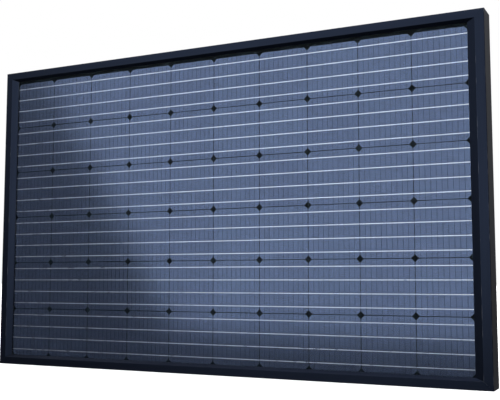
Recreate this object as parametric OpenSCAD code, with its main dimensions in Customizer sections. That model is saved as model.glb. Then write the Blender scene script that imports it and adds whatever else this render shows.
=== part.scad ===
// Framed 60-cell solar panel, standing upright on one long edge.
// X runs along the long side, the glass faces -Y and Z is up.
// The origin is the centre of the bounding box's bottom face.
// Depths called v are counted backwards from the panel's foremost plane.

/* [Cells] */
// Width and height of a pseudo-square cell
cell_size = 156.75; // [150:0.25:158]
// Diameter of the round wafer that the cell is cut from
wafer_d = 208.5; // [205:0.5:214]
// Gap between neighbouring cells
cell_gap = 2; // [1.5:0.1:3]
// Cells along the panel
columns = 10; // [9:1:12]
// Busbars on each cell
busbars = 4; // [3:1:5]
// Width of a busbar ribbon
ribbon_w = 2; // [1:0.1:2.5]

/* [Frame] */
// Depth of the frame, front to back
frame_d = 75; // [70:1:84]
// Width of the flat face on the long rails
long_face = 23.5; // [21:0.5:26]
// Width of the flat face on the short rails
short_face = 25.5; // [23:0.5:28]
// Width of the inner bevel on the long rails
long_bevel = 8.5; // [7:0.1:10]
// Width of the inner bevel on the short rails
short_bevel = 22.5; // [18:0.5:24]
// Depth of the glass surface behind the face
glass_v = 9.9; // [9:0.1:11]
// Thickness of the glass
glass_t = 2; // [1.8:0.1:3.2]
// Thickness of the frame's walls
wall = 2.2; // [1.8:0.1:2.6]

/* [Mounting] */
// Distance between the outer pair of mounting slots
outer_slots = 1150; // [1000:10:1200]
// Distance between the inner pair of mounting slots
inner_slots = 800; // [600:10:860]
// Width of a mounting slot
slot_w = 9; // [7:0.5:10]
// Length of a mounting slot, along the panel
slot_l = 14; // [11:1:18]
// Diameter of an earthing hole
earth_d = 4.2; // [3.5:0.1:5.5]

/* [Junction box] */
// Width of the box along the panel
box_w = 105; // [98:1:110]
// Height of the box
box_h = 150; // [142:1:170]
// Depth of the box, from its floor to its lid's back
box_d = 26; // [25:0.5:30]
// Radius of the hinge pin
pin_r = 1.5; // [1.2:0.1:1.8]
// Bore radius of a gland's rubber bush
bush_r = 3; // [2.5:0.1:3.2]

/* [Hidden] */
rows = 6;
pitch = cell_size + cell_gap;
end_border = 47.25;
side_border = 35.75;
panel_w = columns * pitch + 2 * end_border;
panel_h = rows * pitch + 2 * side_border;
front_y = -frame_d / 2;
centre_z = panel_h / 2;
// How far the cells lie below the panel's middle
grid_drop = 4.8;
// How far a cut reaches past the surfaces that it opens
over = 1;

// Shares of the face width at which the profile's inner walls stand, alike on every rail,
// so that the profiles meet along the mitres.
chamber_share = 0.84;
groove_share = 0.92;
seal_gap = 2;
edge_r = 1.5;
lip_t = 0.7;
shelf_t = 2;
shelf_inset = 2;
groove_front_v = glass_v - 0.3;
lip_v = groove_front_v - lip_t;
groove_back_v = glass_v + glass_t + 2.5;
shelf_v = groove_back_v + shelf_t;
chamber_back_v = shelf_v + 22;
chamber_end_v = chamber_back_v - shelf_t;
flange_t = 2.5;
slot_u = 17;
earth_x = outer_slots / 2 + 90;
drain_l = 20;
drain_w = 5;
drain_x = panel_w / 2 - 110;
drain_v = chamber_back_v + 10;

// Laminate: width, height, and the depth at which each layer begins
lam_w = panel_w - 2 * (short_face * groove_share + seal_gap);
lam_h = panel_h - 2 * (long_face * groove_share + seal_gap);
front_eva_v = glass_v + glass_t;
cover_t = 0.2;
foil_t = 0.2;
cell_t = 0.2;
cell_v = front_eva_v + cover_t + foil_t;
cell_back_v = cell_v + cell_t;
lead_v = cell_back_v + foil_t;
backsheet_v = lead_v + foil_t + 0.1;
lam_back_v = backsheet_v + 0.3;
cells_end = (columns * pitch - cell_gap) / 2;
ribbon_start = 1;

// Bus ribbons beyond the cells: the near row joins strings, the far row bypasses it
bus_w = 5;
near_bus_x = cells_end + 2.8;
far_bus_x = near_bus_x + bus_w + 2.5;
lead_w = 5;
lead_z = [40, 10, -10, -40];

// Junction box
box_x = panel_w / 2 - 128.5;
box_r = 6;
box_wall = 2.5;
pad_t = 1;
floor_v = lam_back_v + pad_t;
floor_top_v = floor_v + box_wall;
lid_back_v = floor_v + box_d;
lid_t = 2.5;
lid_v = lid_back_v - lid_t;
lid_seal_t = 0.8;
rim_top_v = lid_v - lid_seal_t;
window_w = 12;
window_h = 92;
window_x = box_x + 28;
lead_bend_x = window_x;
post_v = floor_top_v + 4;
terminal_t = 1.2;
contact_v = post_v + terminal_t;
terminal_w = 12;
terminal_l = 44;
terminal_x = box_x - 2;

// Hinge of the lid, on the box's side nearer the panel's end
hinge_r = 3.2;
hinge_x = box_x + box_w / 2 + hinge_r + 0.6;
hinge_v = lid_v + 0.4;
hinge_gap = 0.05;
knuckle_l = 12;
lid_knuckle_l = 36;
knuckle_space = 0.3;

// Glands, on the box's side nearer the panel's middle
gland_z = 50;
gland_v = floor_v + 11;
stem_r = 6;
bush_seat_r = 4.8;
cable_way_r = 4.2;
gland_face_x = box_x - box_w / 2;

// Height of string s's middle, and distance of column c's middle from the panel's
function string_z(s) = centre_z - grid_drop + ((rows + 1) / 2 - s) * pitch;
function cell_x(c) = (c - (columns - 1) / 2) * pitch;
// Height of busbar b above its string's middle
function busbar_z(b) = (b - (busbars - 1) / 2) * cell_size / busbars;
function box_z() = centre_z - grid_drop;
// The range that reaches half on each side of a middle
function about(middle, half) = [middle - half, middle + half];
// Strings that a bus ribbon joins: a link runs from the upper string's top busbar
// to the lower string's bottom busbar
function link_top(s) = string_z(s) + busbar_z(busbars - 1) + ribbon_w;
function link_bottom(s) = string_z(s) + busbar_z(0) - ribbon_w;

// ---- Placing helpers ----

// A drawing made with X along the panel and Y up stands upright at depth v,
// and its thickness runs backwards
module upright(v) {
    translate([0, front_y + v, 0])
        rotate([90, 0, 0])
            mirror([0, 0, 1])
                children();
}

// A box given by its X range, its depth range and its Z range
module block(x, v, z) {
    translate([x[0], front_y + v[0], z[0]])
        cube([x[1] - x[0], v[1] - v[0], z[1] - z[0]]);
}

module rounded_rectangle(w, h, r) {
    union() {
        square([w - 2 * r, h], center = true);
        square([w, h - 2 * r], center = true);
        for (sx = [-1, 1], sy = [-1, 1])
            translate([sx * (w / 2 - r), sy * (h / 2 - r)])
                circle(r, $fn = 32);
    }
}

// ---- Frame ----

// The outer front edge, rounded between the side wall and the face
function rounded_edge() =
    [for (a = [0 : 22.5 : 90]) [edge_r * (1 - cos(a)), edge_r * (1 - sin(a))]];

// A rail's profile, with u inwards from the outer side and v backwards
module rail_profile(face, bevel) {
    lip = face + bevel;
    groove = face * groove_share;
    chamber = face * chamber_share;
    difference() {
        polygon(concat(
            rounded_edge(),
            [[face, 0], [lip, lip_v], [lip, groove_front_v]],
            [[groove, groove_front_v], [groove, groove_back_v]],
            [[lip - shelf_inset, groove_back_v], [lip - shelf_inset, shelf_v], [groove, shelf_v]],
            [[groove, chamber_back_v], [wall, chamber_back_v]],
            [[wall, frame_d - flange_t], [lip, frame_d - flange_t], [lip, frame_d], [0, frame_d]]
        ));
        translate([wall, wall])
            square([chamber - wall, groove_back_v - wall]);
        translate([wall, shelf_v])
            square([chamber - wall, chamber_end_v - shelf_v]);
    }
}

// The front view of the top left mitre, from the outer corner inwards
function mitre() = [[0, 0], [short_face, long_face],
                    [short_face + short_bevel, long_face + long_bevel]];

// A long rail before its holes, lying along the bottom edge
module long_rail_bar() {
    from_left = [for (p = mitre()) [p[0] - panel_w / 2, p[1]]];
    from_right = [for (i = [2 : -1 : 0]) [panel_w / 2 - mitre()[i][0], mitre()[i][1]]];
    intersection() {
        translate([0, front_y, 0])
            rotate([0, -90, 0])
                linear_extrude(panel_w, center = true)
                    rail_profile(long_face, long_bevel);
        upright(0)
            linear_extrude(frame_d)
                polygon(concat(from_left, from_right));
    }
}

// A short rail, standing along the left edge
module short_rail_bar() {
    from_below = [for (p = mitre()) [p[0] - panel_w / 2, p[1]]];
    from_above = [for (i = [2 : -1 : 0]) [mitre()[i][0] - panel_w / 2, panel_h - mitre()[i][1]]];
    intersection() {
        translate([-panel_w / 2, front_y, 0])
            linear_extrude(panel_h)
                rail_profile(short_face, short_bevel);
        upright(0)
            linear_extrude(frame_d)
                polygon(concat(from_below, from_above));
    }
}

// A round hole through the rear flange of the bottom rail
module flange_hole(x, d) {
    translate([x, front_y + frame_d + over, slot_u])
        rotate([90, 0, 0])
            cylinder(h = flange_t + 2 * over, d = d, $fn = 48);
}

// A slot through the rear flange of the bottom rail
module flange_slot(x) {
    for (side = [-1, 1])
        flange_hole(x + side * (slot_l - slot_w) / 2, slot_w);
    block(about(x, (slot_l - slot_w) / 2),
          [frame_d - flange_t - over, frame_d + over],
          about(slot_u, slot_w / 2));
}

// A drain slot through the outer wall of the bottom rail
module drain_slot(x) {
    for (side = [-1, 1])
        translate([x + side * (drain_l - drain_w) / 2, front_y + drain_v, -over])
            cylinder(h = wall + 2 * over, d = drain_w, $fn = 48);
    block(about(x, (drain_l - drain_w) / 2), about(drain_v, drain_w / 2), [-over, wall + over]);
}

module rail_bottom() {
    color("#1c1f26")
        difference() {
            long_rail_bar();
            for (side = [-1, 1]) {
                flange_slot(side * outer_slots / 2);
                flange_slot(side * inner_slots / 2);
                flange_hole(side * earth_x, earth_d);
                drain_slot(side * drain_x);
            }
        }
}

module rail_top() {
    translate([0, 0, panel_h])
        mirror([0, 0, 1])
            rail_bottom();
}

module rail_left() {
    color("#1c1f26")
        short_rail_bar();
}

module rail_right() {
    mirror([1, 0, 0])
        rail_left();
}

// An L-shaped key filling the chambers of two rails at the bottom left corner
module corner_key() {
    key_leg = 72;
    clear = 0.3;
    rib = 3.5;
    window_pitch = 34;
    key_v = [shelf_v + clear, chamber_end_v - clear];
    cut_v = [key_v[0] - over, key_v[1] + over];
    start = wall + 0.4;
    long_leg = long_face * chamber_share - clear;
    short_leg = short_face * chamber_share - clear;
    color("silver")
        translate([-panel_w / 2, 0, 0])
            difference() {
                union() {
                    block([start, key_leg + short_leg], key_v, [start, long_leg]);
                    block([start, short_leg], key_v, [start, key_leg + long_leg]);
                }
                // Two windows lighten each leg
                for (i = [0, 1]) {
                    block([short_leg + rib + window_pitch * i, short_leg + window_pitch * (i + 1)],
                          cut_v, [start + rib, long_leg - rib]);
                    block([start + rib, short_leg - rib], cut_v,
                          [long_leg + rib + window_pitch * i, long_leg + window_pitch * (i + 1)]);
                }
            }
}

// The key at one corner: side is -1 on the left, end is -1 at the bottom
module corner_key_at(side, end) {
    translate([0, 0, end > 0 ? panel_h : 0])
        mirror([0, 0, end > 0 ? 1 : 0])
            mirror([side > 0 ? 1 : 0, 0, 0])
                corner_key();
}

// ---- Laminate ----

// A full layer of the laminate between two depths, grown by a margin on every side
module layer(v, margin_x = 0, margin_z = 0) {
    block([-lam_w / 2 - margin_x, lam_w / 2 + margin_x], v,
          [centre_z - lam_h / 2 - margin_z, centre_z + lam_h / 2 + margin_z]);
}

// The sealant that fills the groove around the laminate's edge
module edge_seal() {
    cover_x = short_face * (1 - groove_share) + short_bevel - shelf_inset - seal_gap;
    cover_z = long_face * (1 - groove_share) + long_bevel - shelf_inset - seal_gap;
    color("#101113")
        difference() {
            layer([groove_front_v, groove_back_v], seal_gap, seal_gap);
            layer([glass_v, lam_back_v]);
            layer([groove_front_v - over, groove_back_v + over], -cover_x, -cover_z);
        }
}

module front_glass() {
    color("#a9c4d6", 0.35)
        layer([glass_v, front_eva_v]);
}

// Room for the busbars in front of or behind the cells, from end to end
module busbar_grooves(v) {
    reach = near_bus_x + bus_w;
    for (s = [1 : rows], b = [0 : busbars - 1])
        block([-reach, reach], v,
              about(string_z(s) + busbar_z(b), ribbon_w / 2));
}

module front_encapsulant() {
    color("#dfe6ea", 0.35)
        difference() {
            layer([front_eva_v, cell_v]);
            busbar_grooves([cell_v - foil_t, cell_v]);
            bus_cover(-1);
            bus_cover(1);
        }
}

module cell_outline() {
    intersection() {
        square(cell_size, center = true);
        circle(d = wafer_d, $fn = 96);
    }
}

module cell_string(s) {
    color("#24324c")
        for (c = [0 : columns - 1])
            upright(cell_v)
                translate([cell_x(c), string_z(s)])
                    linear_extrude(cell_t)
                        cell_outline();
}

module rear_encapsulant() {
    color("#0c0d10")
        difference() {
            layer([cell_v, backsheet_v]);
            for (s = [1 : rows])
                cell_string(s);
            busbar_grooves([cell_v, lead_v]);
            bus_links_left();
            bus_links_right();
            lead_shapes();
            lead_insulators();
        }
}

module backsheet() {
    color("#0a0b0d")
        difference() {
            layer([backsheet_v, lam_back_v]);
            lead_shapes();
        }
}

// One ribbon: it lies on the front of column c's cell, steps back through the gap
// and runs on behind the next cell
module step_ribbon(c) {
    left = cell_x(c) - cell_size / 2;
    right = cell_x(c) + cell_size / 2;
    next = right + cell_gap;
    polygon([
        [left + ribbon_start, cell_v - foil_t], [right, cell_v - foil_t],
        [next, cell_back_v], [next + cell_size - ribbon_start, cell_back_v],
        [next + cell_size - ribbon_start, cell_back_v + foil_t], [next, cell_back_v + foil_t],
        [right, cell_v], [left + ribbon_start, cell_v]
    ]);
}

// A string's ribbons: the steps from cell to cell, a rear run out to the left bus ribbon
// and a front run out to the right one
module string_profile() {
    reach = near_bus_x + bus_w;
    for (c = [0 : columns - 2])
        step_ribbon(c);
    translate([-reach, cell_back_v])
        square([reach - cells_end + cell_size - ribbon_start, foil_t]);
    translate([cells_end - cell_size + ribbon_start, cell_v - foil_t])
        square([reach - cells_end + cell_size - ribbon_start, foil_t]);
}

// Every other string is turned round, so that the strings are wired in series
module ribbons(s) {
    color("#c9ced6")
        mirror([s % 2 == 0 ? 1 : 0, 0, 0])
            for (b = [0 : busbars - 1])
                translate([0, front_y, string_z(s) + busbar_z(b) - ribbon_w / 2])
                    linear_extrude(ribbon_w)
                        string_profile();
}

// A stretch of bus ribbon standing along the strings' ends, at distance x from the middle
module bus_strip(x, z) {
    block([x, x + bus_w], [cell_v, cell_back_v], z);
}

// The ribbons far from the junction box, joining strings 1-2, 3-4 and 5-6
module bus_links_left() {
    color("#c9ced6")
        mirror([1, 0, 0])
            for (s = [1 : 2 : rows - 1])
                bus_strip(near_bus_x, [link_bottom(s + 1), link_top(s)]);
}

// The ribbons at the junction box: strings 2-3 and 4-5 joined, and strings 1 and 6
// led past them to the middle
module bus_links_right() {
    inner = lead_z[1] - lead_w / 2;
    outer = lead_z[0] - lead_w / 2;
    color("#c9ced6") {
        bus_strip(near_bus_x, [box_z() + inner, link_top(2)]);
        bus_strip(near_bus_x, [link_bottom(5), box_z() - inner]);
        end_bus(link_bottom(1), link_top(1), box_z() + outer);
        end_bus(link_bottom(6), link_top(6), box_z() - outer);
    }
}

// An end string's bus ribbon: beside the string, across to the far row, and on to z
module end_bus(low, high, z) {
    union() {
        bus_strip(near_bus_x, [low, high]);
        block([near_bus_x, far_bus_x + bus_w], [cell_v, cell_back_v], [low, low + bus_w]);
        bus_strip(far_bus_x, [min(low, z), max(low + bus_w, z)]);
    }
}

// The black strip in front of the bus ribbons: side is -1 on the left
module bus_cover(side) {
    near = cells_end + 0.6;
    far = far_bus_x + bus_w + 1;
    color("#0a0b0d")
        block([min(side * near, side * far), max(side * near, side * far)],
              [front_eva_v, front_eva_v + cover_t],
              [string_z(rows) - cell_size / 2, string_z(1) + cell_size / 2]);
}

// One foil lead: it starts behind a bus ribbon at x, steps back over the insulator, runs
// behind the cells, turns back into the box and bends over its terminal
module lead_profile(x) {
    inside = x - 1;
    polygon([
        [x + bus_w, cell_back_v], [x + bus_w, cell_back_v + foil_t],
        [x, cell_back_v + foil_t], [inside, lead_v + foil_t],
        [lead_bend_x, lead_v + foil_t], [lead_bend_x, contact_v + foil_t],
        [terminal_x + terminal_l / 2 - 12, contact_v + foil_t],
        [terminal_x + terminal_l / 2 - 12, contact_v],
        [lead_bend_x - foil_t, contact_v], [lead_bend_x - foil_t, lead_v],
        [inside, lead_v], [x, cell_back_v]
    ]);
}

module lead_shapes() {
    for (i = [0 : 3])
        translate([0, front_y, box_z() + lead_z[i] - lead_w / 2])
            linear_extrude(lead_w)
                lead_profile(i % 3 == 0 ? far_bus_x : near_bus_x);
}

module foil_leads() {
    color("#c9ced6")
        lead_shapes();
}

// Strips that keep the leads off the cells, and the outer leads off the bus ribbons they cross
module lead_insulators() {
    gap_z = cell_size / busbars / 2;
    near = window_x - 8;
    far = near_bus_x - 1;
    v = [cell_back_v, lead_v];
    color("#d8d8d2") {
        block([near, far], v, about(box_z(), gap_z - 1));
        for (side = [-1, 1])
            block([near, far_bus_x - 1.2], v, about(box_z() + side * lead_z[0], 8));
    }
}

// ---- Junction box ----

module box_layer(v, inset = 0) {
    upright(v[0])
        translate([box_x, box_z()])
            linear_extrude(v[1] - v[0])
                rounded_rectangle(box_w - 2 * inset, box_h - 2 * inset, box_r - min(inset, 4));
}

// The opening that the foil leads come through
module lead_window(v) {
    block([window_x - window_w / 2, window_x + window_w / 2], v, about(box_z(), window_h / 2));
}

module jbox_adhesive() {
    color("#e4e4df")
        difference() {
            box_layer([lam_back_v, floor_v], 1.5);
            lead_window([lam_back_v - over, floor_v + over]);
        }
}

// Parallel to the hinge axis, a cylinder centred at height z
module hinge_cylinder(r, l, z) {
    translate([hinge_x, front_y + hinge_v, box_z() + z - l / 2])
        cylinder(h = l, r = r, $fn = 48);
}

// One hinge ear of the base, fixed to its side wall
module base_ear(z) {
    root_x = box_x + box_w / 2 - 1;
    hinge_cylinder(hinge_r, knuckle_l, z);
    block([root_x, hinge_x], [hinge_v - hinge_r - 3, rim_top_v], about(box_z() + z, knuckle_l / 2));
}

// Height of a base ear's middle above the box's middle
function ear_z() = (lid_knuckle_l + knuckle_l) / 2 + knuckle_space;

module jbox_base() {
    color("#17181a")
        difference() {
            union() {
                difference() {
                    box_layer([floor_v, rim_top_v]);
                    box_layer([floor_top_v, rim_top_v + over], box_wall);
                }
                for (z = lead_z)
                    block(about(terminal_x, terminal_l / 2 - 4),
                          [floor_top_v - 0.5, post_v], about(box_z() + z, 4));
                for (side = [-1, 1])
                    base_ear(side * ear_z());
            }
            lead_window([floor_v - over, post_v + over]);
            hinge_cylinder(pin_r, 3 * lid_knuckle_l, 0);
            for (side = [-1, 1])
                gland_cylinder(side, stem_r, -box_wall - over, over);
        }
}

// The lid: a plate with a recessed field, a rim inside the walls, a hinge knuckle
// and two finger tabs
module jbox_lid() {
    rim_clear = 0.5;
    rim_t = 1.5;
    lid_border = 12;
    lid_recess = 0.7;
    rim_v = [rim_top_v - 3.5, lid_v + 0.5];
    color("#1d1e21")
        difference() {
            union() {
                box_layer([lid_v, lid_back_v]);
                difference() {
                    box_layer(rim_v, box_wall + rim_clear);
                    box_layer([rim_v[0] - over, rim_v[1] + over], box_wall + rim_clear + rim_t);
                }
                hinge_cylinder(hinge_r, lid_knuckle_l, 0);
                block([box_x + box_w / 2 - 1, hinge_x], [hinge_v + 0.2, hinge_v + hinge_r],
                      about(box_z(), lid_knuckle_l / 2));
                for (side = [-1, 1])
                    block([gland_face_x - 3, gland_face_x + 1], [lid_v + 0.5, lid_back_v],
                          about(box_z() + side * 18, 6));
            }
            hinge_cylinder(pin_r + hinge_gap, lid_knuckle_l + 2 * over, 0);
            box_layer([lid_back_v - lid_recess, lid_back_v + over], lid_border);
        }
}

// A flat ring between the lid and the top of the walls, round the lid's rim
module jbox_lid_seal() {
    color("#2b2c2e")
        difference() {
            box_layer([rim_top_v, lid_v], 0.4);
            box_layer([rim_top_v - over, lid_v + over], box_wall - 0.2);
        }
}

module jbox_hinge_pin() {
    color("silver")
        hinge_cylinder(pin_r, lid_knuckle_l + 2 * (knuckle_l + knuckle_space) + 2, 0);
}

// Four terminal plates, each turned up at the end nearer the glands
module jbox_terminals() {
    end_x = terminal_x - terminal_l / 2;
    color("#c7a46a")
        for (z = lead_z)
            union() {
                block(about(terminal_x, terminal_l / 2), [post_v, contact_v],
                      about(box_z() + z, terminal_w / 2));
                block([end_x, end_x + terminal_t], [post_v, contact_v + 6],
                      about(box_z() + z, terminal_w / 2));
            }
}

// Spring clips that press the foil leads onto the terminals
module foil_clips() {
    clip_x = terminal_x + terminal_l / 2 - 8;
    color("#b9bcc2")
        for (z = lead_z)
            translate([clip_x, front_y + contact_v + foil_t, box_z() + z - terminal_w / 2 + 1])
                linear_extrude(terminal_w - 2)
                    polygon([[-3, 0], [3, 0], [3, 0.6], [-2.4, 0.6], [-2.4, 4], [3, 4], [3, 4.6], [-3, 4.6]]);
}

// Bypass diodes, each standing with its bent wires on two neighbouring terminals
module bypass_diodes() {
    color("#121214")
        for (i = [0 : 2])
            bypass_diode((lead_z[i] + lead_z[i + 1]) / 2, (lead_z[i] - lead_z[i + 1]) / 2 - 2);
}

module bypass_diode(z, half_span) {
    diode_v = contact_v + 4;
    body_l = 9;
    wire_r = 0.65;
    diode_x = terminal_x - 10;
    translate([diode_x, front_y + diode_v, box_z() + z])
        union() {
            cylinder(h = body_l, r = 2.7, center = true, $fn = 48);
            cylinder(h = 2 * half_span, r = wire_r, center = true, $fn = 24);
            for (end = [-1, 1])
                translate([0, 0, end * (half_span - wire_r)])
                    rotate([90, 0, 0])
                        cylinder(h = 4, r = wire_r, $fn = 24);
        }
}

// ---- Glands ----

// Along a gland's axis, a cylinder from distance a to b outside the box's wall:
// side is -1 for the lower gland
module gland_cylinder(side, r, a, b, sides = 48) {
    translate([gland_face_x - b, front_y + gland_v, box_z() + side * gland_z])
        rotate([0, 90, 0])
            cylinder(h = b - a, r = r, $fn = sides);
}

module gland_body(side) {
    color("#17181a")
        difference() {
            union() {
                gland_cylinder(side, stem_r, -box_wall - 3, 14);
                gland_cylinder(side, 9, 0, 4, 6);
            }
            gland_cylinder(side, cable_way_r, -box_wall - 4, 15);
            gland_cylinder(side, bush_seat_r, 6, 15);
        }
}

module gland_bush(side) {
    color("#2a2b2d")
        difference() {
            gland_cylinder(side, bush_seat_r, 6, 14);
            gland_cylinder(side, bush_r, 5, 15);
        }
}

module gland_nut(side) {
    color("#17181a")
        difference() {
            union() {
                gland_cylinder(side, 9, 4.4, 12, 6);
                gland_cylinder(side, 7.6, 12, 16.5);
            }
            gland_cylinder(side, stem_r, 4, 14);
            gland_cylinder(side, cable_way_r, 13, 17);
        }
}

// A blank rating label stuck on the backsheet
module rating_label() {
    color("#c8c9c6")
        block([box_x - 210, box_x - 90], [lam_back_v, lam_back_v + 0.15], about(box_z() + 120, 40));
}

// ---- Nodes ----

rail_top();
rail_bottom();
rail_left();
rail_right();
corner_key_at(-1, 1);  // corner_key_top_left
corner_key_at(1, 1);  // corner_key_top_right
corner_key_at(-1, -1);  // corner_key_bottom_left
corner_key_at(1, -1);  // corner_key_bottom_right
edge_seal();
front_glass();
front_encapsulant();
rear_encapsulant();
backsheet();
for (s = [1 : rows]) {
    cell_string(s);
    ribbons(s);
}
bus_links_left();  // bus_ribbons_left
bus_links_right();  // bus_ribbons_right
bus_cover(-1);  // bus_cover_left
bus_cover(1);  // bus_cover_right
foil_leads();
lead_insulators();
jbox_adhesive();
jbox_base();
jbox_lid();
jbox_lid_seal();
jbox_hinge_pin();
jbox_terminals();
foil_clips();
bypass_diodes();
for (g = [1, 2]) {
    gland_body(g * 2 - 3);
    gland_nut(g * 2 - 3);
    gland_bush(g * 2 - 3);
}
rating_label();
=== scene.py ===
"""Looks of the framed solar panel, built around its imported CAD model.

Lengths are in metres, in the CAD frame: X runs along the panel, the glass faces -Y and Z is up.
"""

import math

import bmesh
import bpy
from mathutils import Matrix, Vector, noise


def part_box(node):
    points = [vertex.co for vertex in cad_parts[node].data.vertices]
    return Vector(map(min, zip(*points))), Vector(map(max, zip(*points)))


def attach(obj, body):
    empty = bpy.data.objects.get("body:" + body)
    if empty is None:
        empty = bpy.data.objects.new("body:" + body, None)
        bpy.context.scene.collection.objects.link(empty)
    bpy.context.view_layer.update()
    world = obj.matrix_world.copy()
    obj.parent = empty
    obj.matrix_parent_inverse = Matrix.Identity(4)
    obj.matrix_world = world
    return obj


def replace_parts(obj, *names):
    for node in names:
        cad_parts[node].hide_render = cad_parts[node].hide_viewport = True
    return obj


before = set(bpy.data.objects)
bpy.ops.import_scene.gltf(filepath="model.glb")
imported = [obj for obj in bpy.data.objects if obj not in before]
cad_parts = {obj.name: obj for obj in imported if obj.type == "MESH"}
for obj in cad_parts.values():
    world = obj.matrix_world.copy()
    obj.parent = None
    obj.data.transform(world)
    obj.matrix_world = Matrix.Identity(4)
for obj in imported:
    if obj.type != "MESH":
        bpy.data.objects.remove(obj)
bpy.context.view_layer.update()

MM = 0.001

# Cells in a string, and strings one above another.
COLUMNS = 10
STRINGS = 6
# Radius of the round wafer that a cell is cut from.
WAFER_R = 104.25 * MM
# Numbers that stand for the X and Z axes.
X_AXIS = 0
Z_AXIS = 2

LONG_RAILS = ["rail_top", "rail_bottom"]
SHORT_RAILS = ["rail_left", "rail_right"]
CORNERS = ["top_left", "top_right", "bottom_left", "bottom_right"]
GLANDS = [1, 2]


# ---- Node materials ----


class Look:
    """A material being made. It starts as a Principled shader, and procedural nodes in frame
    coordinates feed it."""

    # A Mix node's sockets for two colours and their blend; its other kinds' sockets have the same names.
    FIRST_COLOUR = 6
    SECOND_COLOUR = 7
    BLENDED_COLOUR = 2

    def __init__(self, name, colour, roughness, metallic=0.0, specular=0.5):
        self.material = bpy.data.materials.new(name)
        self.material.use_nodes = True
        self.tree = self.material.node_tree
        self.shader = self.tree.nodes["Principled BSDF"]
        self.shader.inputs["Base Color"].default_value = (*colour, 1)
        self.shader.inputs["Roughness"].default_value = roughness
        self.shader.inputs["Metallic"].default_value = metallic
        self.shader.inputs["Specular IOR Level"].default_value = specular
        self.place = self.add("ShaderNodeTexCoord").outputs["Object"]

    def add(self, kind, **settings):
        """Adds a node of a kind, with these settings."""
        node = self.tree.nodes.new(kind)
        for name, value in settings.items():
            setattr(node, name, value)
        return node

    def feed(self, socket, source):
        """Sets a socket to a plain value, or links it to another node's output."""
        if isinstance(source, bpy.types.NodeSocket):
            self.tree.links.new(source, socket)
        else:
            socket.default_value = source

    def vector(self, operation, a, b=(0, 0, 0)):
        """What an operation makes of two vectors."""
        node = self.add("ShaderNodeVectorMath", operation=operation)
        self.feed(node.inputs[0], a)
        self.feed(node.inputs[1], b)
        return node.outputs[0]

    def number(self, operation, a, b=0.0):
        """What an operation makes of two numbers."""
        node = self.add("ShaderNodeMath", operation=operation)
        self.feed(node.inputs[0], a)
        self.feed(node.inputs[1], b)
        return node.outputs[0]

    def parts(self, source):
        """A vector's X, Y and Z, by name."""
        node = self.add("ShaderNodeSeparateXYZ")
        self.feed(node.inputs[0], source)
        return node.outputs

    def noise(self, size, detail=2.0):
        """Cloudy noise from 0 to 1, whose blobs have this size along X, Y and Z."""
        node = self.add("ShaderNodeTexNoise")
        self.feed(node.inputs["Vector"], self.vector("DIVIDE", self.place, size))
        node.inputs["Scale"].default_value = 1.0
        node.inputs["Detail"].default_value = detail
        return node.outputs["Fac"]

    def spread(self, source, low, high, start=0.3, end=0.7):
        """Turns start to end into low to high, and stops there."""
        node = self.add("ShaderNodeMapRange")
        for name, value in zip(("Value", "From Min", "From Max", "To Min", "To Max"),
                               (source, start, end, low, high)):
            self.feed(node.inputs[name], value)
        return node.outputs["Result"]

    def blend(self, share, first, second):
        """The colour that is first at share 0 and second at share 1."""
        node = self.add("ShaderNodeMix", data_type="RGBA")
        self.feed(node.inputs["Factor"], share)
        for socket, source in ((self.FIRST_COLOUR, first), (self.SECOND_COLOUR, second)):
            is_plain = isinstance(source, tuple)
            self.feed(node.inputs[socket], (*source, 1) if is_plain else source)
        return node.outputs[self.BLENDED_COLOUR]

    def colour(self, source):
        self.feed(self.shader.inputs["Base Color"], source)

    def roughness(self, source):
        self.feed(self.shader.inputs["Roughness"], source)

    def mottle(self, size, first, second, detail=2.0):
        """Colours the surface in clouds of this size, from the first colour to the second."""
        self.colour(self.blend(self.noise(size, detail), first, second))

    def bump(self, height, depth):
        """Raises the surface by up to depth where height is 1."""
        node = self.add("ShaderNodeBump")
        node.inputs["Strength"].default_value = 1.0
        node.inputs["Distance"].default_value = depth
        self.feed(node.inputs["Height"], height)
        below = self.shader.inputs["Normal"]
        if below.is_linked:
            self.feed(node.inputs["Normal"], below.links[0].from_socket)
        self.feed(below, node.outputs["Normal"])


def even(size):
    """A pattern's size that is the same along every axis."""
    return (size,) * 3


def grown(axis, length, across):
    """A pattern's size that is length along one axis and across along the others."""
    return tuple(length if i == axis else across for i in range(3))


def scaled(colour, factor):
    """A colour made lighter or darker."""
    return tuple(part * factor for part in colour)


def anodised_metal(name, axis):
    """Black anodised extrusion: die lines along its axis, with clouds of deeper and paler dye."""
    look = Look(name, (0.011, 0.0145, 0.0255), 0.36, metallic=1.0)
    look.mottle(grown(axis, 400 * MM, 30 * MM), (0.009, 0.012, 0.021), (0.0125, 0.017, 0.030), detail=3.0)
    lines = look.noise(grown(axis, 700 * MM, 1.1 * MM))
    look.roughness(look.spread(lines, 0.31, 0.41))
    look.bump(lines, 0.015 * MM)
    look.bump(look.noise(even(0.5 * MM)), 0.004 * MM)
    return look.material


def worn_edge():
    """The same metal along a rounded edge, rubbed through to bare aluminium in places."""
    look = Look("anodised_worn_edge", (0.03, 0.04, 0.06), 0.34, metallic=1.0)
    rubbed = look.spread(look.noise(even(30 * MM), detail=6.0), 0, 1, start=0.52, end=0.68)
    look.colour(look.blend(rubbed, (0.016, 0.022, 0.038), (0.14, 0.15, 0.17)))
    look.roughness(look.spread(rubbed, 0.34, 0.46, start=0, end=1))
    return look.material


def cast_metal():
    """Die-cast aluminium: dull, grainy and slightly stained."""
    look = Look("cast_metal", (0.5, 0.51, 0.52), 0.55, metallic=1.0)
    look.mottle(even(9 * MM), (0.42, 0.43, 0.44), (0.58, 0.59, 0.60), detail=4.0)
    grain = look.noise(even(0.8 * MM), detail=3.0)
    look.roughness(look.spread(grain, 0.48, 0.62))
    look.bump(grain, 0.06 * MM)
    return look.material


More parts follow.
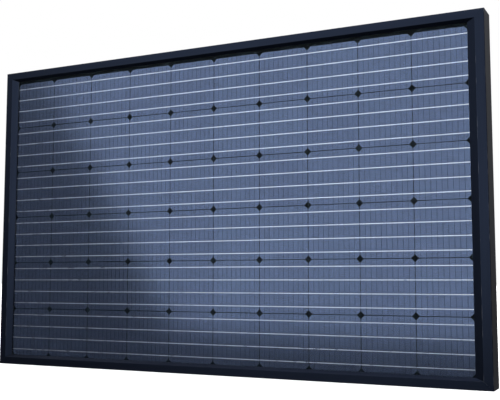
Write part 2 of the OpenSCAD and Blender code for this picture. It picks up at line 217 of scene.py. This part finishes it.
def silicone(name, colour):
    """Cured silicone: smeared by hand, half shiny, with dust caught in it."""
    look = Look(name, colour, 0.42)
    dust = 0.004
    look.mottle(even(14 * MM), colour, tuple(part * 1.35 + dust for part in colour), detail=4.0)
    smears = look.noise((12 * MM, 3 * MM, 12 * MM), detail=3.0)
    look.roughness(look.spread(smears, 0.34, 0.55))
    look.bump(smears, 0.2 * MM)
    return look.material


def see_through(name, index, roughness, tint):
    """A clear layer: what lies behind shows through, under a weak gloss that grows at grazing angles."""
    look = Look(name, (1, 1, 1), roughness)
    clear = look.add("ShaderNodeBsdfTransparent")
    clear.inputs["Color"].default_value = (*tint, 1)
    gloss = look.add("ShaderNodeBsdfAnisotropic")
    texture = look.noise(even(1.6 * MM))
    unevenness = 0.08
    look.feed(gloss.inputs["Roughness"], look.spread(texture, roughness, roughness + unevenness))
    fresnel = look.add("ShaderNodeFresnel")
    fresnel.inputs["IOR"].default_value = index
    outside = look.number("SUBTRACT", 1.0, look.add("ShaderNodeNewGeometry").outputs["Backfacing"])
    mixed = look.add("ShaderNodeMixShader")
    look.feed(mixed.inputs[0], look.number("MULTIPLY", fresnel.outputs[0], outside))
    look.feed(mixed.inputs[1], clear.outputs[0])
    look.feed(mixed.inputs[2], gloss.outputs[0])
    look.feed(look.tree.nodes["Material Output"].inputs["Surface"], mixed.outputs[0])
    look.tree.nodes.remove(look.shader)
    return look.material


def cell_steps(look, corner, pitch):
    """The place counted in cells from the grid's lowest corner, along X and Z."""
    return look.vector("DIVIDE", look.vector("SUBTRACT", look.place, corner), (pitch, 1, pitch))


def cell_number(look, corner, pitch):
    """A random number from 0 to 1 for each cell, the same all over it."""
    whole = look.vector("FLOOR", cell_steps(look, corner, pitch))
    node = look.add("ShaderNodeTexWhiteNoise", noise_dimensions="3D")
    look.feed(node.inputs["Vector"], look.vector("MULTIPLY", whole, (1, 0, 1)))
    return node.outputs["Value"]


def silicon(corner, pitch):
    """Textured, coated silicon: dark blue, a little different from cell to cell."""
    look = Look("silicon", (0.052, 0.072, 0.126), 0.2, metallic=0.9)
    tone = look.blend(cell_number(look, corner, pitch), (0.049, 0.067, 0.119), (0.055, 0.076, 0.132))
    clouds = look.spread(look.noise(even(60 * MM), detail=3.0), 0, 0.12)
    look.colour(look.blend(clouds, tone, (0.060, 0.070, 0.126)))
    look.roughness(look.spread(look.noise(even(2.5 * MM)), 0.14, 0.155))
    return look.material


def printed_line(name, colour, roughness):
    """A thin line printed or cut along a cell, uneven in tone."""
    look = Look(name, colour, roughness, metallic=0.9)
    look.mottle(even(3 * MM), scaled(colour, 0.75), colour, detail=3.0)
    return look.material


def tinned_copper():
    """Solder-coated ribbon, with its solder run thicker and thinner along it."""
    look = Look("tinned_copper", (0.46, 0.48, 0.53), 0.29, metallic=1.0)
    runs = look.noise((22 * MM, 2 * MM, 3 * MM), detail=3.0)
    look.colour(look.blend(runs, (0.43, 0.45, 0.495), (0.49, 0.515, 0.57)))
    look.roughness(look.spread(runs, 0.26, 0.32))
    look.bump(runs, 0.03 * MM)
    return look.material


def black_layer(name, colour, specular):
    """A black film in or on the laminate, before any relief is pressed into it."""
    look = Look(name, colour, 0.46, specular=specular)
    look.mottle(even(90 * MM), colour, scaled(colour, 1.6), detail=5.0)
    skin = look.noise(even(0.9 * MM))
    look.roughness(look.spread(skin, 0.40, 0.54))
    look.bump(skin, 0.02 * MM)
    return look


def black_sheet(corner, pitch):
    """The backsheet, with the cells' outlines pressed through it from inside."""
    # Distances from a cell's middle, in cells, between which the outline slopes down.
    slope_start = 0.475
    slope_end = 0.495
    look = black_layer("black_sheet", (0.009, 0.009, 0.010), specular=0.5)
    inside = look.parts(look.vector("FRACTION", cell_steps(look, corner, pitch)))
    for axis in ("X", "Z"):
        from_middle = look.number("ABSOLUTE", look.number("SUBTRACT", inside[axis], 0.5))
        look.bump(look.spread(from_middle, 1, 0, slope_start, slope_end), 0.06 * MM)
    return look.material


def moulded_plastic():
    """Black spark-eroded plastic, a little dusty."""
    look = Look("moulded_plastic", (0.018, 0.018, 0.019), 0.5)
    look.mottle(even(18 * MM), (0.013, 0.013, 0.014), (0.03, 0.03, 0.031), detail=5.0)
    grain = look.noise(even(0.55 * MM))
    look.roughness(look.spread(grain, 0.42, 0.6))
    look.bump(grain, 0.05 * MM)
    return look.material


def plastic_edge():
    """The same plastic along its edges, polished by handling."""
    look = Look("plastic_edge", (0.035, 0.035, 0.037), 0.34)
    look.mottle(even(6 * MM), (0.02, 0.02, 0.021), (0.05, 0.05, 0.052))
    return look.material


def rubber(name, colour):
    """Dull moulded rubber with a paler bloom on it."""
    look = Look(name, colour, 0.7)
    bloom = look.noise(even(4 * MM), detail=4.0)
    look.colour(look.blend(bloom, colour, scaled(colour, 1.7)))
    look.roughness(look.spread(bloom, 0.62, 0.8))
    look.bump(look.noise(even(0.4 * MM)), 0.03 * MM)
    return look.material


def brushed_metal(name, colour, axis):
    """Metal drawn or rolled along one axis."""
    look = Look(name, colour, 0.3, metallic=1.0)
    lines = look.noise(grown(axis, 6 * MM, 0.12 * MM))
    look.colour(look.blend(lines, scaled(colour, 0.8), colour))
    look.roughness(look.spread(lines, 0.24, 0.42))
    look.bump(lines, 0.006 * MM)
    return look.material


def pale_strip():
    """Insulating polyester strip, milky and slightly creased."""
    look = Look("pale_strip", (0.72, 0.72, 0.69), 0.4)
    creases = look.noise((5 * MM, 5 * MM, 1.5 * MM), detail=4.0)
    look.colour(look.blend(creases, (0.62, 0.62, 0.59), (0.76, 0.76, 0.73)))
    look.bump(creases, 0.05 * MM)
    return look.material


def diode_plastic(low, high):
    """Three black epoxy bodies, each with a pale ring at one end, and tinned wires beyond them."""
    body_length = 9 * MM
    spacing = 25 * MM
    ring_rise = 0.3 * body_length
    ring_half_w = 0.6 * MM
    slack = 0.1 * MM
    look = Look("diode_plastic", (0.012, 0.012, 0.013), 0.3)
    z = look.parts(look.place)["Z"]
    wire = 1.0
    ring = 0.0
    for step in (-1, 0, 1):
        middle = (low.z + high.z) / 2 + step * spacing
        away = look.number("ABSOLUTE", look.number("SUBTRACT", z, middle))
        beyond = look.number("GREATER_THAN", away, body_length / 2 + slack)
        wire = look.number("MULTIPLY", wire, beyond)
        from_ring = look.number("ABSOLUTE", look.number("SUBTRACT", z, middle + ring_rise))
        ring = look.number("MAXIMUM", ring, look.number("LESS_THAN", from_ring, ring_half_w))
    epoxy = look.blend(look.noise(even(1.5 * MM)), (0.010, 0.010, 0.011), (0.02, 0.02, 0.021))
    marked = look.blend(ring, epoxy, (0.5, 0.5, 0.5))
    look.colour(look.blend(wire, marked, (0.6, 0.61, 0.63)))
    look.feed(look.shader.inputs["Metallic"], wire)
    return look.material


def label_film(low, high):
    """A blank silvery label: a thin printed border and ruled rows, with nothing written in them."""
    inset = 3 * MM
    rule = 0.35 * MM
    rows_per_half = 4
    middle = (low + high) / 2
    half_w = (high.x - low.x) / 2 - inset
    half_h = (high.z - low.z) / 2 - inset
    look = Look("label_film", (0.43, 0.43, 0.425), 0.35)
    place = look.parts(look.place)
    across = look.number("ABSOLUTE", look.number("SUBTRACT", place["X"], middle.x))
    up = look.number("ABSOLUTE", look.number("SUBTRACT", place["Z"], middle.z))
    within_sides = look.number("LESS_THAN", across, half_w + rule)
    within_ends = look.number("LESS_THAN", up, half_h + rule)
    on_side = look.number("GREATER_THAN", across, half_w - rule)
    on_rule = look.number("LESS_THAN", look.number("PINGPONG", up, half_h / rows_per_half), rule)
    within = look.number("MULTIPLY", within_sides, within_ends)
    printed = look.number("MULTIPLY", within, look.number("MAXIMUM", on_side, on_rule))
    film = look.blend(look.noise(even(8 * MM), detail=4.0), (0.40, 0.40, 0.395), (0.46, 0.46, 0.455))
    look.colour(look.blend(printed, film, (0.09, 0.09, 0.10)))
    look.bump(look.noise(even(5 * MM)), 0.04 * MM)
    return look.material


# ---- Meshes ----


def add_object(name, data):
    """Makes an object of a mesh, a light or a camera, and puts it in the scene."""
    thing = bpy.data.objects.new(name, data)
    bpy.context.scene.collection.objects.link(thing)
    return thing


def add_piece(name, shape, materials, body="panel", smooth=False):
    """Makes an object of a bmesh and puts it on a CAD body."""
    mesh = bpy.data.meshes.new(name)
    shape.to_mesh(mesh)
    shape.free()
    for material in materials:
        mesh.materials.append(material)
    for face in mesh.polygons:
        face.use_smooth = smooth
    piece = add_object(name, mesh)
    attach(piece, body)
    return piece


def add_box(shape, low, high, material_index=0):
    """Adds a closed box between two corners to a bmesh."""
    corners = [shape.verts.new((x, y, z)) for x in (low[0], high[0]) for y in (low[1], high[1])
               for z in (low[2], high[2])]
    for ring in ((0, 1, 3, 2), (4, 6, 7, 5), (0, 4, 5, 1), (2, 3, 7, 6), (0, 2, 6, 4), (1, 5, 7, 3)):
        face = shape.faces.new([corners[i] for i in ring])
        face.material_index = material_index


def seamed_plate(low, high, seam):
    """A plate whose edges are all ground off by a narrow seam."""
    shape = bmesh.new()
    add_box(shape, low, high)
    bmesh.ops.bevel(shape, geom=shape.edges[:], offset=seam, segments=2, affect="EDGES", profile=0.5)
    return shape


def clear_cover():
    """The glass pane and the clear film behind it, a hair apart from each other and the ribbons."""
    apart = 0.02 * MM
    glass_seam = 0.5 * MM
    film_seam = 0.05 * MM
    glass_low, glass_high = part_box("front_glass")
    film_low, film_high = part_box("front_encapsulant")
    glass_high.y -= apart
    film_high.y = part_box("ribbons_1")[0].y - apart
    pane = seamed_plate(glass_low, glass_high, glass_seam)
    glass = see_through("pearl_glass", index=1.07, roughness=0.22, tint=(0.99, 0.995, 0.995))
    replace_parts(add_piece("glass_pane", pane, [glass]), "front_glass")
    film = seamed_plate(film_low, film_high, film_seam)
    clear = see_through("clear_film", index=1.02, roughness=0.3, tint=(0.995, 0.995, 0.995))
    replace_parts(add_piece("encapsulant_film", film, [clear]), "front_encapsulant")


def cell_layout(string):
    """A string's lowest corner, its cells' size and the distance from one cell to the next."""
    low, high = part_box(f"cell_string_{string}")
    size = high.z - low.z
    pitch = size + (high.x - low.x - COLUMNS * size) / (COLUMNS - 1)
    return low, size, pitch


def half_height(size, across):
    """How far a pseudo-square cell reaches above its middle at a distance across from it."""
    return min(size / 2, math.sqrt(WAFER_R ** 2 - across ** 2))


def print_cells(string, materials):
    """The lines across each cell: fine printed fingers, and a dark line at every tenth of its width."""
    fingers = 100
    fingers_per_line = 10
    finger_w = 0.12 * MM
    line_w = 1.0 * MM
    margin = 0.8 * MM
    proud = 0.04 * MM
    sunk = 0.03 * MM
    low, size, pitch = cell_layout(string)
    middle_z = low.z + size / 2
    shape = bmesh.new()
    for column in range(COLUMNS):
        for finger in range(1, fingers):
            across = (finger / fingers - 0.5) * size
            is_line = finger % fingers_per_line == 0
            half_w = (line_w if is_line else finger_w) / 2
            reach = half_height(size, across) - (0 if is_line else margin)
            x = low.x + column * pitch + size / 2 + across
            add_box(shape,
                    (x - half_w, low.y - proud, middle_z - reach),
                    (x + half_w, low.y + sunk, middle_z + reach),
                    int(is_line))
    add_piece(f"cell_print_{string}", shape, materials)


def bead_run(shape, start, end, inward, seed):
    """A run of hand-laid sealant in the corner between the backsheet and the frame's rear lip."""
    height = 2.4 * MM
    mean_width = 1.15 * height
    sway = 0.4 * height
    waves = 40
    rings_per_wave = 3
    steps = 5
    rings = []
    for i in range(waves * rings_per_wave + 1):
        share = i / (waves * rings_per_wave)
        place = start.lerp(end, share)
        width = mean_width + sway * noise.noise(Vector((share * waves, seed, 0)))
        ring = [shape.verts.new(place)]
        for step in range(steps + 1):
            turn = math.pi / 2 * step / steps
            raised = Vector((0, height * math.sin(turn), 0))
            ring.append(shape.verts.new(place + inward * (width * math.cos(turn)) + raised))
        rings.append(ring)
    for first, second in zip(rings, rings[1:]):
        for i, corner in enumerate(first):
            k = (i + 1) % len(first)
            shape.faces.new((corner, first[k], second[k], second[i]))
    shape.faces.new(rings[0][::-1])
    shape.faces.new(rings[-1])


def seal_bead(material):
    """The bead of sealant squeezed out all round the backsheet, along the frame's rear lip."""
    lip_inset = 2 * MM
    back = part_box("backsheet")[1].y
    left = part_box("rail_left")[1].x - lip_inset
    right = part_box("rail_right")[0].x + lip_inset
    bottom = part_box("rail_bottom")[1].z - lip_inset
    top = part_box("rail_top")[0].z + lip_inset
    corners = [Vector((x, back, z))
               for x, z in ((left, bottom), (right, bottom), (right, top), (left, top))]
    shape = bmesh.new()
    for i, start in enumerate(corners):
        end = corners[(i + 1) % len(corners)]
        inward = (end - start).cross(Vector((0, 1, 0))).normalized()
        bead_run(shape, start, end, inward, i)
    bmesh.ops.recalc_face_normals(shape, faces=shape.faces[:])
    add_piece("seal_bead", shape, [material], smooth=True)


# ---- CAD nodes ----


def dress(node, material):
    """Gives a CAD node its material."""
    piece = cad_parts[node]
    for place in piece.material_slots:
        place.material = material
    return piece


def soften(node, material, edge_material, width, least_angle=30):
    """Dresses a CAD node and rounds its sharp edges, which get a material of their own."""
    piece = dress(node, material)
    piece.data.materials.append(edge_material)
    flat_angle = 0.5
    weld = piece.modifiers.new("weld", "WELD")
    weld.merge_threshold = 0.001 * MM
    flat = piece.modifiers.new("flatten", "DECIMATE")
    flat.decimate_type = "DISSOLVE"
    flat.angle_limit = math.radians(flat_angle)
    rounded = piece.modifiers.new("round", "BEVEL")
    rounded.width = width
    rounded.segments = 2
    rounded.limit_method = "ANGLE"
    rounded.angle_limit = math.radians(least_angle)
    rounded.material = len(piece.data.materials) - 1
    piece.modifiers.new("normals", "WEIGHTED_NORMAL")


def dress_frame():
    """The rails, whose ridge between face and bevel is the least sharp edge, and the keys in them."""
    edge_w = 0.35 * MM
    ridge_angle = 18
    edge = worn_edge()
    long_metal = anodised_metal("anodised_long", X_AXIS)
    short_metal = anodised_metal("anodised_short", Z_AXIS)
    for node in LONG_RAILS:
        soften(node, long_metal, edge, edge_w, ridge_angle)
    for node in SHORT_RAILS:
        soften(node, short_metal, edge, edge_w, ridge_angle)
    cast = cast_metal()
    for corner in CORNERS:
        dress(f"corner_key_{corner}", cast)


def dress_cells(corner, pitch):
    """The cells with their printed lines, and all the ribbons and foils that join them."""
    cells = silicon(corner, pitch)
    ribbon = tinned_copper()
    lines = [printed_line("finger", (0.09, 0.12, 0.19), 0.4),
             printed_line("dark_line", (0.018, 0.025, 0.045), 0.4)]
    for string in range(1, STRINGS + 1):
        dress(f"cell_string_{string}", cells)
        dress(f"ribbons_{string}", ribbon)
        print_cells(string, lines)
    for node in ("bus_ribbons_left", "bus_ribbons_right", "foil_leads"):
        dress(node, ribbon)


def dress_laminate():
    """Everything that the frame holds: the cells, what backs and seals them, and the clear cover."""
    low, size, pitch = cell_layout(STRINGS)
    half_gap = (pitch - size) / 2
    corner = low - Vector((half_gap, 0, half_gap))
    dress_cells(corner, pitch)
    encapsulant = black_layer("black_encapsulant", (0.003, 0.0045, 0.0055), specular=0.0)
    dress("rear_encapsulant", encapsulant.material)
    dress("backsheet", black_sheet(corner, pitch))
    strip = black_layer("black_strip", (0.009, 0.009, 0.009), specular=0.0)
    for node in ("bus_cover_left", "bus_cover_right"):
        dress(node, strip.material)
    sealant = silicone("black_silicone", (0.010, 0.010, 0.011))
    dress("edge_seal", sealant)
    seal_bead(sealant)
    dress("lead_insulators", pale_strip())
    clear_cover()


def dress_box():
    """The junction box with its lid, its glands and what is in it, and the label beside it."""
    box_edge_w = 0.5 * MM
    nut_edge_w = 0.35 * MM
    gland_edge_w = 0.25 * MM
    plastic = moulded_plastic()
    edge = plastic_edge()
    for node in ("jbox_base", "jbox_lid"):
        soften(node, plastic, edge, box_edge_w)
    for gland in GLANDS:
        soften(f"gland_nut_{gland}", plastic, edge, nut_edge_w)
        soften(f"gland_body_{gland}", plastic, edge, gland_edge_w)
        dress(f"gland_bush_{gland}", rubber(f"bush_rubber_{gland}", (0.03, 0.03, 0.031)))
    dress("jbox_adhesive", silicone("white_silicone", (0.62, 0.62, 0.59)))
    dress("jbox_lid_seal", rubber("seal_rubber", (0.045, 0.045, 0.047)))
    dress("jbox_hinge_pin", brushed_metal("pin_steel", (0.6, 0.61, 0.62), Z_AXIS))
    dress("foil_clips", brushed_metal("clip_steel", (0.6, 0.61, 0.63), Z_AXIS))
    dress("jbox_terminals", brushed_metal("terminal_brass", (0.72, 0.60, 0.38), X_AXIS))
    dress("bypass_diodes", diode_plastic(*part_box("bypass_diodes")))
    dress("rating_label", label_film(*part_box("rating_label")))


# ---- Stage ----


def emission(name, colour, strength):
    """A material that gives light on its front side only: strength there, and nothing on its back."""
    material = bpy.data.materials.new(name)
    material.use_nodes = True
    nodes = material.node_tree.nodes
    links = material.node_tree.links
    nodes.remove(nodes["Principled BSDF"])
    lamp = nodes.new("ShaderNodeEmission")
    lamp.inputs["Color"].default_value = (*colour, 1)
    side = nodes.new("ShaderNodeNewGeometry")
    in_front = nodes.new("ShaderNodeMath")
    in_front.operation = "MULTIPLY_ADD"
    in_front.inputs[1].default_value = -strength
    in_front.inputs[2].default_value = strength
    links.new(side.outputs["Backfacing"], in_front.inputs[0])
    links.new(in_front.outputs[0], lamp.inputs["Strength"])
    links.new(lamp.outputs[0], nodes["Material Output"].inputs["Surface"])
    return material


def add_card():
    """A large soft card of light in front of the panel, cut off aslant on its left."""
    distance = 3.5
    corners = [(-2.25, -0.12), (1.6, -0.12), (1.6, 4.0), (-4.75, 4.0)]
    mesh = bpy.data.meshes.new("card")
    mesh.from_pydata([(x, -distance, z) for x, z in corners], [], [(0, 3, 2, 1)])
    mesh.materials.append(emission("card_light", (0.95, 0.98, 1.0), 2.1))
    card = add_object("card", mesh)
    card.visible_camera = False
    card.visible_shadow = False


def add_rear_lamp():
    """A square area light high up behind the panel, turned to its middle."""
    target = Vector((0, 0, 0.5))
    data = bpy.data.lights.new("rear", "AREA")
    data.size = 2.5
    data.energy = 60
    lamp = add_object("rear", data)
    lamp.location = (-1.6, 3.2, 2.2)
    lamp.rotation_mode = "QUATERNION"
    lamp.rotation_quaternion = (target - lamp.location).to_track_quat("-Z", "Y")
    lamp.visible_camera = False


def add_sky():
    """Soft light from straight above, which is left out of mirrored light."""
    softness = 110
    data = bpy.data.lights.new("sky", "SUN")
    data.energy = 4.6
    data.angle = math.radians(softness)
    sky = add_object("sky", data)
    sky.visible_glossy = False


def add_floor():
    """A pale floor, which is left out of mirrored light."""
    reach = 40
    height = -0.3 * MM
    corners = [(x * reach, y * reach, height) for x, y in ((-1, -1), (1, -1), (1, 1), (-1, 1))]
    look = Look("pale_floor", (0.9, 0.9, 0.9), 1.0, specular=0.0)
    look.mottle(even(0.6), (0.89, 0.89, 0.89), (0.91, 0.91, 0.91), detail=3.0)
    mesh = bpy.data.meshes.new("floor")
    mesh.from_pydata(corners, [], [(0, 1, 2, 3)])
    mesh.materials.append(look.material)
    floor = add_object("floor", mesh)
    floor.visible_glossy = False


def set_world():
    """White where the camera looks past the object. For everything else a dim, slightly blue room,
    brighter in front and above than behind, with a bright ceiling and a glow from the rear floor."""
    # Spans of a direction's Y or Z, over which the room's light changes.
    to_rear = (0.2, 0.9)
    to_top = (-0.2, 0.5)
    to_ceiling = (0.6, 1.0)
    to_floor = (-0.12, -0.3)
    world = bpy.data.worlds.new("studio")
    bpy.context.scene.world = world
    world.use_nodes = True
    nodes = world.node_tree.nodes
    links = world.node_tree.links
    direction = nodes.new("ShaderNodeSeparateXYZ")
    links.new(nodes.new("ShaderNodeTexCoord").outputs["Generated"], direction.inputs[0])

    def ramp(axis, span, low, high):
        """Turns the direction's part along an axis, over a span, into low to high."""
        node = nodes.new("ShaderNodeMapRange")
        for name, value in zip(("Value", "From Min", "From Max", "To Min", "To Max"),
                               (direction.outputs[axis], *span, low, high)):
            if isinstance(value, bpy.types.NodeSocket):
                links.new(value, node.inputs[name])
            else:
                node.inputs[name].default_value = value
        return node.outputs["Result"]

    def total(first, second):
        node = nodes.new("ShaderNodeMath")
        links.new(first, node.inputs[0])
        links.new(second, node.inputs[1])
        return node.outputs[0]

    below = ramp("Y", to_rear, 0.17, 0.04)
    above = ramp("Y", to_rear, 0.46, 0.34)
    walls = ramp("Z", to_top, below, above)
    ceiling = ramp("Z", to_ceiling, 0, 1.6)
    rear_glow = ramp("Y", to_rear, 0, 0.5)
    floor_glow = ramp("Z", to_floor, 0, rear_glow)
    strength = total(walls, total(ceiling, floor_glow))
    room = nodes.new("ShaderNodeBackground")
    room.inputs["Color"].default_value = (0.93, 0.94, 1.0, 1)
    links.new(strength, room.inputs["Strength"])
    white = nodes.new("ShaderNodeBackground")
    white.inputs["Color"].default_value = (1, 1, 1, 1)
    mixed = nodes.new("ShaderNodeMixShader")
    links.new(nodes.new("ShaderNodeLightPath").outputs["Is Camera Ray"], mixed.inputs[0])
    links.new(room.outputs[0], mixed.inputs[1])
    links.new(white.outputs[0], mixed.inputs[2])
    links.new(mixed.outputs[0], nodes["World Output"].inputs["Surface"])


def add_camera():
    """Low and to the right of the panel, looking slightly up across it."""
    data = bpy.data.cameras.new("camera")
    tilt = 95.366
    turn = 26.506
    data.lens = 60.993
    data.sensor_width = 36.0
    camera = add_object("camera", data)
    camera.location = (1.2721, -2.3214, 0.2897)
    camera.rotation_euler = (math.radians(tilt), 0, math.radians(turn))
    bpy.context.scene.camera = camera


def set_stage():
    """Colours, camera, floor and light, none of which belong to the object."""
    bpy.context.scene.view_settings.view_transform = "Standard"
    bpy.context.scene.cycles.transparent_max_bounces = 24
    set_world()
    add_camera()
    add_floor()
    add_card()
    add_sky()
    add_rear_lamp()


set_stage()
dress_frame()
dress_laminate()
dress_box()
